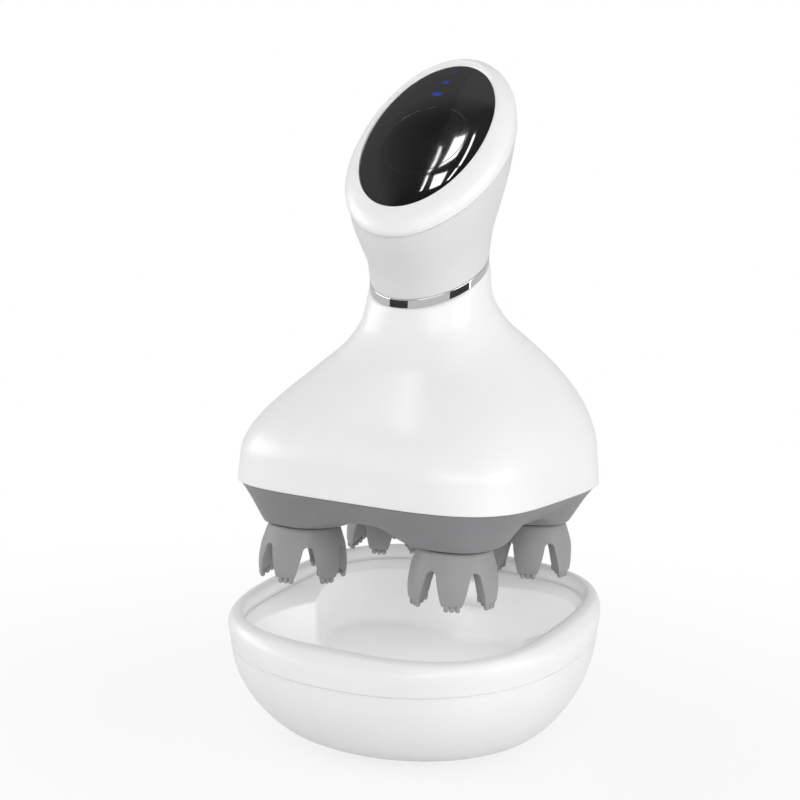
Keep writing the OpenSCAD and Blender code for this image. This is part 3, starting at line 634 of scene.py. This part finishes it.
claw_grey = silicone("claw_grey", (0.31, 0.31, 0.316), 0.46)
seat_rows = [(13.8, 0.22, (-1, 0, 1)), (12.2, 0.52, (-0.6, 0.6)), (10.8, 0.8, (-0.6, 0.6))]
head_places = {"front_left": (-1, -1, -21), "front_right": (1, -1, -3),
               "back_left": (-1, 1, -12), "back_right": (1, 1, -6)}
for name, (side_x, side_y, twist) in head_places.items():
    blank = add_mesh("claw_blank", claw_points, claw_faces, claw_grey)
    one_nub = add_mesh("nub_blank", nub_points, nub_faces, claw_grey)
    outwards(one_nub, 0.01)
    nub_seats = add_mesh("nub_seats", [
        (r, s * nub_pitch, mix(foot_out, foot_in, inward))
        for r, inward, seats_across in seat_rows for s in seats_across], [], claw_grey)
    head = grow_from(blank, heads, heads_in, {
        "Claws": claws, "Nub": one_nub, "Nub seats": nub_seats, "Skin": claw_grey},
        name + "_claw_cup")
    for helper in (one_nub, nub_seats):
        bpy.data.objects.remove(helper)
    head.data.transform(
        Matrix.Translation((side_x * head_x / 1000, side_y * head_x / 1000,
                            (lift + crown_z) / 1000))
        @ Matrix.Rotation(math.radians(twist), 4, "Z"))
    outwards(head)
    settle(head, "head_" + name, "claw_silicone", name + "_claws")


# ---------------------------------------------------------------- dock shell
# The bowl that the dock stands on: white ABS, rounder towards the table. Its edge is the dock's
# seam, which falls a little towards the front.
seam_z, bowl_z, dock_tilt, dock_wall = 37.4, 1.0, 6.2, 1.8
bowl_line = [(bowl_z, 33), (3, 40), (6.7, 47), (14.3, 54), (22, 58.5), (29.7, 61), (seam_z, 62)]


def bowl(z, inset=0.0, up=0.0):
    t = (z - bowl_z) / (seam_z - bowl_z)
    return ring(curve(bowl_line, z) - inset, 2 + 0.23 * t, z + up, dock_tilt * t)


dock_white = moulded("dock_white", (0.85, 0.85, 0.855), 0.34, 0.3)
heights = np.concatenate([np.linspace(bowl_z, 9, 20), np.linspace(9.6, seam_z - 0.4, 60)])
bottom = loft("dock_bowl", [ring(20, 2, bowl_z), ring(32.6, 2, bowl_z)]
              + [bowl(z) for z in heights]
              + [bowl(seam_z, 0.03, -0.3), bowl(seam_z, 0.12, -0.1), bowl(seam_z, 0.35)]
              + [bowl(z, dock_wall) for z in np.linspace(seam_z, 5, 20)] + [ring(37, 2, 3.2)],
              dock_white)
settle(bottom, "dock", "dock_white", "dock_bottom_shell", "dock_side")


# ---------------------------------------------------------------- dock rim
# The broad white band above the seam, which rolls over a soft crest into the tray. It clips on
# to the bowl, with a fine dark gap left between the two.
rim_h = 10.8
band_line = [(0, 61.98), (0.37, 61.98), (0.65, 61), (0.83, 59.4), (0.95, 57.6), (1, 55.5)]
crest_line = [(54.9, 2.95, 0.07), (54.4, 3, 0.25), (53.9, 3.08, 0.62), (53.5, 3.15, 1.1),
              (53.2, 3.22, 2), (53.1, 3.25, 2.8), (53, 3.3, 5.2)]


def band_ring(t, inset=0.0, up=0.0):
    return ring(curve(band_line, t) - inset, 2.23 + 0.67 * t * t,
                seam_z + rim_h * t + up, dock_tilt)


def lip(width, power, z):
    return ring(width, power, seam_z + z, dock_tilt)


rim = loft("dock_rim_band", [band_ring(0, 0.35, 0.05), band_ring(0, 0.12, 0.12),
                             band_ring(0, 0.03, 0.3)]
           + [band_ring(t) for t in np.linspace(0.04, 1, 60)]
           + [lip(width, power, rim_h - fall) for width, power, fall in crest_line]
           + [lip(55, 3.1, 5.6), lip(55.4, 3, 8), band_ring(0.6, 2), band_ring(0.35, 2.1),
              band_ring(0, 2.1)], dock_white, loop=True)
settle(rim, "dock", "dock_white", "dock_rim")


# ---------------------------------------------------------------- dock tray
# The off-white insert that the heads stand in: a sloping ledge, and a deep well with a lobe for
# each head. The edge of the well is softly rounded, and so is the corner at its floor.
floor_z, tray_t, well_r, lobe = 23.8, 1.3, 40, 17


def clover(grow, z, tilt=0.0):
    a = np.linspace(0, 2 * np.pi, 360, endpoint=False)
    r = well_r + grow + lobe * np.abs(np.sin(2 * a)) ** 1.5
    return np.stack([r * np.cos(a), r * np.sin(a),
                     z + r * np.sin(a) * math.tan(math.radians(tilt))], 1)


def wide(width, power, z):
    return ring(width, power, z, dock_tilt, count=360)


ledge, half_tilt, corner_r = seam_z + 2.3, dock_tilt / 2, 3.0
outer = [clover(-4, floor_z - tray_t), clover(-1, floor_z - tray_t + 0.4),
         clover(0.6, floor_z + 0.7), clover(1.5, floor_z + 3), clover(2.8, ledge - 4, half_tilt),
         clover(3.1, ledge - 1.6, dock_tilt), wide(57.4, 2.7, seam_z + 3.9),
         wide(57.4, 2.7, seam_z + 5.5), wide(52.85, 3.3, seam_z + 5.5)]
edge_of_well = clover(1.9, ledge + 0.3, dock_tilt)
slope = [mix(outer[-1], edge_of_well, t) for t in (0.2, 0.4, 0.6, 0.8, 0.95)]
brink = [clover(1.75, ledge + 0.16, dock_tilt), clover(1.6, ledge - 0.1, dock_tilt),
         clover(1.5, ledge - 0.5, dock_tilt)]
side_top, side_low = clover(1.5, ledge - 0.9, dock_tilt), clover(0.4, floor_z + corner_r)
side = [mix(side_top, side_low, t) for t in np.linspace(0, 1, 14)]
corner = [clover(0.4 - corner_r * (1 - math.cos(math.radians(f))),
                 floor_z + corner_r * (1 - math.sin(math.radians(f))))
          for f in (15, 30, 45, 60, 75, 90)]
middle = [corner[-1] * (s, s, 1) for s in (0.9, 0.7, 0.45, 0.2, 0.03)]
# The tray's white is set lighter than the dock's: painted light, which makes up for the shade that
# the massager casts into the well.
tray_white = moulded("tray_white", (0.92, 0.92, 0.925), 0.38, 0.2)
tray = loft("dock_tray_well", outer + slope + [edge_of_well] + brink + side + corner + middle,
            tray_white)
settle(tray, "dock", "tray_white", "dock_tray", "dock_floor", "well_front_left",
       "well_front_right", "well_back_left", "well_back_right")


# ---------------------------------------------------------------- contact block and pins
# A small white block at the back of the ledge carries two sprung, gold-plated pins. It is moulded
# separately and pressed up through the tray; the pins have rounded tips.
block_y, block_line = 43, [(7.9, 5.4, 38.1), (7.95, 5.45, 45.9), (7.85, 5.35, 46.5),
                           (7.5, 5.0, 46.9), (7.0, 4.5, 47.05), (2, 1.2, 47.08)]
# The block shares the tray's white, which is painted lighter than the dock's.
block = loft("contact_block_body",
             [ring(1, 7, 0, count=96) * (half_x, half_y, 0) + (0, block_y, z)
              for half_x, half_y, z in block_line], tray_white)
settle(block, "dock", "dock_white", "contact_block")


def turned(name, line, material, place=(0, 0, 0), count=64):
    """A turned part from its outline, a row of (radius, height), about an upright axis."""
    return loft(name, [ring(r, 2, z, count=count) + place for r, z in line], material)


gold = plated("gold_plate", (0.83, 0.6, 0.25), 0.12)
pin_y, pin_x = 40.5, 4.0
for side, name in ((-1, "left"), (1, "right")):
    pin = turned("pin_" + name, [(0.3, 42.1), (0.9, 42.1), (0.9, 45.1), (1.5, 45.1), (1.5, 46.0),
                                 (0.9, 46.0), (0.9, 48.1), (0.8, 48.45), (0.55, 48.63),
                                 (0.2, 48.7)], gold, (side * pin_x, pin_y, 0), count=40)
    settle(pin, "charging_pin_" + name, "gold", "charging_pin_" + name)


# ---------------------------------------------------------------- contact pads
# Two gold-plated studs in the cover's rear edge, pressed through the silicone. They meet the
# dock's pins when the massager stands in the dock.
copies, start, copies_in = tree_of("copies", {"Places": "Object", "Skin": "Material"})
spots = start.add("GeometryNodeObjectInfo", None, {"Object": start.out("Places")}, "Geometry")
each = start.add("GeometryNodeInstanceOnPoints", None, {"Points": spots, "Instance": start})
smooth = start.add("GeometryNodeSetShadeSmooth", None,
                   {0: start.add("GeometryNodeRealizeInstances", None, {0: each})})
start.add("NodeGroupOutput", None, {0: start.add(
    "GeometryNodeSetMaterial", None, {"Geometry": smooth, "Material": start.out("Skin")})})


def repeat(blank, name, places, material):
    """Copies of a blank at each of some places, joined as one piece."""
    seats = add_mesh(name + "_seats", places, [], material)
    made = grow_from(blank, copies, copies_in, {"Places": seats, "Skin": material}, name)
    bpy.data.objects.remove(seats)
    return made


stud = turned("stud", [(0.3, 0.12), (1.3, 0.05), (1.9, 0.0), (2.12, 0.1), (2.2, 0.4), (2.2, 2.0),
                       (1.0, 2.0), (1.0, 8.9), (0.3, 9.0)], gold, count=48)
pads = repeat(stud, "contact_studs",
              [(side * pin_x, pin_y, lift - 9.0) for side in (-1, 1)], gold)
settle(pads, "massager", "gold", "contact_pads")


# ---------------------------------------------------------------- head hubs
# A stiff white disc inside each head, overmoulded with the silicone. Its boss is pressed on to
# the shaft, and its dished face shows between the claws from below.
hub_white = moulded("hub_white", (0.62, 0.62, 0.6), 0.42, 0.0)
for name, (side_x, side_y, _) in head_places.items():
    hub = turned(name + "_hub_disc", [
        (0.4, 0.3), (2.3, 0.3), (2.6, 0.0), (5.2, 0.0), (5.35, 0.25), (5.7, 0.25), (5.85, 0.0),
        (8.2, 0.0), (8.5, 0.12), (8.6, 0.4), (8.6, 2.4), (6.0, 2.4), (6.0, 4.4), (3.0, 4.4),
        (3.0, 1.0), (0.4, 1.0)], hub_white,
        (side_x * head_x, side_y * head_x, lift + crown_z - 4.4))
    settle(hub, "head_" + name, "inner_plastic", name + "_hub")


# ---------------------------------------------------------------- feet and dock screws
# Four grey rubber feet are glued under the bowl. Four pan-head screws in deep recesses hold the
# tray's posts to it; each head has a cross recess.
foot_rubber = silicone("foot_rubber", (0.07, 0.07, 0.072), 0.6)
foot_place, screw_place = 27 / math.sqrt(2), 18
pad = turned("foot", [(0.4, 0.06), (3.6, 0.06), (4.0, 0.0), (4.6, 0.02), (4.9, 0.14), (5.0, 0.4),
                      (5.0, 1.7), (0.4, 1.7)], foot_rubber)
feet = repeat(pad, "rubber_feet", [(x * foot_place, y * foot_place, 0)
                                   for x in (-1, 1) for y in (-1, 1)], foot_rubber)
settle(feet, "dock", "foot_rubber", "dock_feet")


def cross(low, high, z):
    """A ring in the shape of a cross recess."""
    a = np.linspace(0, 2 * np.pi, 64, endpoint=False)
    r = low + (high - low) * np.abs(np.cos(2 * a)) ** 6
    return np.stack([r * np.cos(a), r * np.sin(a), np.full(len(a), z)], 1)


def brushed(name, colour, rough, stretch=(1, 1, 40)):
    """Bare metal with fine machining marks that run across the stretched axis."""
    material, w = new_material(name)
    place = w.add("ShaderNodeTexCoord", out="Object")
    marks = w.add("ShaderNodeTexNoise", None, {
        "Vector": w.add("ShaderNodeVectorMath", {"operation": "MULTIPLY"}, {0: place, 1: stretch}),
        "Scale": 110, "Detail": 4}, "Fac")
    shade = w.add("ShaderNodeMix", {"data_type": "RGBA"}, {
        0: marks.clamp(0.3, 0.7), 6: (*[0.86 * c for c in colour], 1), 7: (*colour, 1)}, 2)
    metal = w.add("ShaderNodeBsdfPrincipled", None, {
        "Base Color": shade, "Metallic": 1.0, "Roughness": rough + 0.12 * (marks - 0.5),
        "Normal": bump(w, marks, 0.004)})
    w.add("ShaderNodeOutputMaterial", None, {"Surface": metal})
    return material


steel = brushed("steel", (0.56, 0.56, 0.57), 0.28)
screw = loft("screw", [ring(r, 2, z, count=64) for r, z in (
    (0.5, 11), (1.1, 10.3), (1.1, 2.2), (2.55, 2.2), (2.6, 2.1), (2.6, 1.6), (2.45, 1.1),
    (2.1, 0.85), (1.7, 0.8))] + [cross(0.5, 1.5, 0.82), cross(0.4, 1.3, 1.0), cross(0.3, 1.0, 1.8)],
    steel)
screws = repeat(screw, "cross_screws", [(x * screw_place, y * screw_place, 0) for x, y in (
    (1, 0), (-1, 0), (0, 1), (0, -1))], steel)
settle(screws, "dock", "steel", "dock_screws")


# ---------------------------------------------------------------- charging inlet
# A small steel charging socket in the back of the bowl, with a rounded mouth and a flat tongue.
# It doesn't show in the photograph, so its kind is a guess.
inlet_z = 17.25


def mouth(half_x, half_z, y):
    """An upright rounded ring about the inlet's middle."""
    flat = ring(1, 5, 0, count=72)
    return np.stack([flat[:, 0] * half_x, np.full(len(flat), y),
                     inlet_z + flat[:, 1] * half_z], 1)


socket = loft("inlet_shell", [mouth(*row) for row in (
    (4.5, 1.65, 45.5), (4.5, 1.65, 54.3), (4.42, 1.57, 54.5), (4.15, 1.3, 54.5), (4.0, 1.15, 54.2),
    (4.0, 1.15, 47.2), (3.0, 0.36, 47.1), (3.0, 0.36, 53.4), (2.8, 0.2, 53.6))],
              brushed("inlet_steel", (0.6, 0.6, 0.61), 0.24))
settle(socket, "dock", "steel", "charging_inlet")


# ---------------------------------------------------------------- frame, holder and guide
# The stiff parts inside are glass-filled nylon, moulded in mid grey with faint fibre streaks. The
# lower frame and gear deck carry the gear train, and the holder keeps the cell in the neck.
def finish_node(material, *names):
    """Gives carried-over pieces their material in every slot they have."""
    for name in names:
        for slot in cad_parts[name].material_slots:
            slot.material = material


def filled_nylon(name, colour):
    material, w = new_material(name)
    place = w.add("ShaderNodeTexCoord", out="Object")
    streaks = w.add("ShaderNodeTexNoise", None, {
        "Vector": w.add("ShaderNodeVectorMath", {"operation": "MULTIPLY"},
                        {0: place, 1: (1, 5, 1)}),
        "Scale": 160, "Detail": 5, "Distortion": 0.6}, "Fac")
    shade = w.add("ShaderNodeMix", {"data_type": "RGBA"}, {
        0: streaks.clamp(0.35, 0.7), 6: (*[0.85 * c for c in colour], 1), 7: (*colour, 1)}, 2)
    skin = w.add("ShaderNodeBsdfPrincipled", None, {
        "Base Color": shade, "Roughness": 0.5 + 0.15 * (streaks - 0.5), "IOR": 1.52,
        "Normal": bump(w, streaks, 0.01)})
    w.add("ShaderNodeOutputMaterial", None, {"Surface": skin})
    return material


finish_node(filled_nylon("grey_nylon", (0.22, 0.225, 0.23)),
            "lower_frame", "gear_deck", "battery_holder")
finish_node(filled_nylon("guide_white", (0.7, 0.7, 0.69)), "panel_guide")


# ---------------------------------------------------------------- gears
# One wide drive gear turns the four head gears. They are cut from natural acetal, which is waxy,
# slightly translucent and off-white.
acetal = moulded("acetal", (0.78, 0.77, 0.71), 0.36, 0.0, 0.004)
finish_node(acetal, "drive_gear", *[name + "_gear" for name in head_places])


# ---------------------------------------------------------------- shafts, screws and bushes
# Shafts are ground steel and the screws are zinc-plated. The bushes are sintered bronze, whose
# fine open pores hold the oil.
finish_node(steel, "drive_shaft", *[name + "_shaft" for name in head_places])
finish_node(brushed("zinc_plate", (0.62, 0.63, 0.65), 0.34, (12, 12, 12)),
            "deck_screws", "frame_screws")

bronze, w = new_material("sintered_bronze")
place = w.add("ShaderNodeTexCoord", out="Object")
pores = w.add("ShaderNodeTexVoronoi", None, {"Vector": place, "Scale": 2400}, "Distance")
open_pore = 1 - pores.clamp(0.12, 0.4)
shade = w.add("ShaderNodeMix", {"data_type": "RGBA"},
              {0: open_pore, 6: (0.52, 0.33, 0.16, 1), 7: (0.16, 0.09, 0.04, 1)}, 2)
w.add("ShaderNodeOutputMaterial", None, {"Surface": w.add("ShaderNodeBsdfPrincipled", None, {
    "Base Color": shade, "Metallic": 1.0, "Roughness": 0.34 + 0.3 * open_pore,
    "Normal": bump(w, 1 - open_pore, 0.02)})})
finish_node(bronze, "head_bushes")


# ---------------------------------------------------------------- seals
# Dark rubber rings keep water out: one round each shaft where it leaves the cover, and one between
# the frame and the shell.
finish_node(silicone("seal_rubber", (0.035, 0.035, 0.037), 0.58), "shaft_seals", "shell_seal")


# ---------------------------------------------------------------- motor and gearbox
# A plain direct-current motor in a drawn, zinc-plated can, standing on its reduction gearbox. The
# gearbox housing is a darker die casting with a grainy skin.
finish_node(brushed("motor_can", (0.66, 0.66, 0.67), 0.3, (1, 1, 60)), "motor")
casting = filled_nylon("gearbox_casting", (0.3, 0.3, 0.31))
finish_node(casting, "gearbox")


# ---------------------------------------------------------------- battery cell
# A round lithium cell in a shrunk plastic sleeve. The sleeve is blue and slightly wrinkled, and
# its ends leave bare steel.
wrap, w = new_material("cell_wrap")
place = w.add("ShaderNodeTexCoord", out="Object")
creases = w.add("ShaderNodeTexNoise", None, {
    "Vector": w.add("ShaderNodeVectorMath", {"operation": "MULTIPLY"}, {0: place, 1: (1, 1, 9)}),
    "Scale": 120, "Detail": 3}, "Fac")
height = w.add("ShaderNodeSeparateXYZ", None, {0: place}).out("Z")
cell_low, cell_high = [corner.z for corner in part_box("battery_cell")]
sleeve = height.clamp(cell_low + 0.0008, cell_low + 0.001) * (
    1 - height.clamp(cell_high - 0.001, cell_high - 0.0008))
shade = w.add("ShaderNodeMix", {"data_type": "RGBA"},
              {0: sleeve, 6: (0.55, 0.55, 0.56, 1), 7: (0.03, 0.13, 0.36, 1)}, 2)
w.add("ShaderNodeOutputMaterial", None, {"Surface": w.add("ShaderNodeBsdfPrincipled", None, {
    "Base Color": shade, "Metallic": 1 - sleeve, "Roughness": 0.28 + 0.1 * creases,
    "Normal": bump(w, creases, 0.02)})})
finish_node(wrap, "battery_cell")


# ---------------------------------------------------------------- circuit boards and switch
# Glass-epoxy boards under green solder mask, with copper tracks that show as paler green lines.
# The tact switch has a dark moulded case, and the three lights are tinted blue.
board, w = new_material("board_green")
place = w.add("ShaderNodeTexCoord", out="Object")
tracks = w.add("ShaderNodeTexBrick", {"offset": 0.37}, {
    "Vector": place, "Color1": (0, 0, 0, 1), "Color2": (0, 0, 0, 1), "Mortar": (1, 1, 1, 1),
    "Scale": 90, "Mortar Size": 0.05, "Brick Width": 0.7, "Row Height": 0.21}, "Fac")
weave = w.add("ShaderNodeTexNoise", None, {"Vector": place, "Scale": 900, "Detail": 2}, "Fac")
shade = w.add("ShaderNodeMix", {"data_type": "RGBA"},
              {0: tracks, 6: (0.012, 0.11, 0.04, 1), 7: (0.05, 0.26, 0.1, 1)}, 2)
w.add("ShaderNodeOutputMaterial", None, {"Surface": w.add("ShaderNodeBsdfPrincipled", None, {
    "Base Color": shade, "Roughness": 0.3 + 0.1 * weave, "Normal": bump(w, tracks, 0.03)})})
finish_node(board, "dock_board", "panel_board", "control_board")
finish_node(moulded("switch_case", (0.03, 0.03, 0.032), 0.42, 0.0), "button_switch")

led, w = new_material("light_blue")
place = w.add("ShaderNodeTexCoord", out="Object")
chip = w.add("ShaderNodeTexNoise", None, {"Vector": place, "Scale": 900}, "Fac")
w.add("ShaderNodeOutputMaterial", None, {"Surface": w.add("ShaderNodeBsdfPrincipled", None, {
    "Base Color": (0.1, 0.18, 0.6, 1), "Roughness": 0.2 + 0.1 * chip,
    "Emission Color": (0.02, 0.05, 0.9, 1), "Emission Strength": 0.5})})
finish_node(led, "indicator_lights")


# ---------------------------------------------------------------- windows
# Two bright window panes and the four thin strips beside them, set where the lens mirrors them
# towards the camera. They light nothing: only gloss shows them.
pane_light, w = new_material("window_light")
w.add("ShaderNodeOutputMaterial", None, {"Surface": w.add(
    "ShaderNodeEmission", None, {"Color": (1, 0.99, 0.97, 1), "Strength": 26})})


pane_away = 900


def glance(x, y):
    """Where the camera's line goes after this place of the domed lens has mirrored it."""
    far = (x / panel_r) ** 2 + (y / panel_long) ** 2
    slope = 2 * (dome_fall + 4 * edge_fall * far ** 3)
    spot = Vector(on_panel(x, y, 0))
    facing = (Vector(on_panel(slope * x / panel_r ** 2, slope * y / panel_long ** 2, 1))
              - Vector(on_panel(0, 0, 0))).normalized()
    back = (camera.location * 1000 - spot).normalized()
    return spot + pane_away * (2 * facing.dot(back) * facing - back)


panes = [[(11.0, -1.6), (14.9, 0.6), (14.7, -9.8), (10.3, -14.6)],
         [(10.1, -18.3), (14.0, -16.3), (13.8, -22.0), (10.6, -24.3)],
         [(7.2, -5.8), (7.9, -5.6), (8.0, -17.0), (7.2, -17.2)],
         [(7.3, -18.6), (8.0, -18.4), (8.2, -25.2), (7.6, -25.4)],
         [(17.2, 0.3), (17.9, 0.4), (17.7, -13.4), (17.0, -13.6)],
         [(16.6, -14.6), (17.2, -14.4), (15.8, -20.0), (15.3, -20.2)]]
pane_points = [glance(x, y) for pane in panes for x, y in pane]
windows = add_mesh("windows", pane_points,
                   [tuple(range(4 * k, 4 * k + 4)) for k in range(len(panes))], pane_light)
windows.visible_camera = windows.visible_diffuse = windows.visible_shadow = False
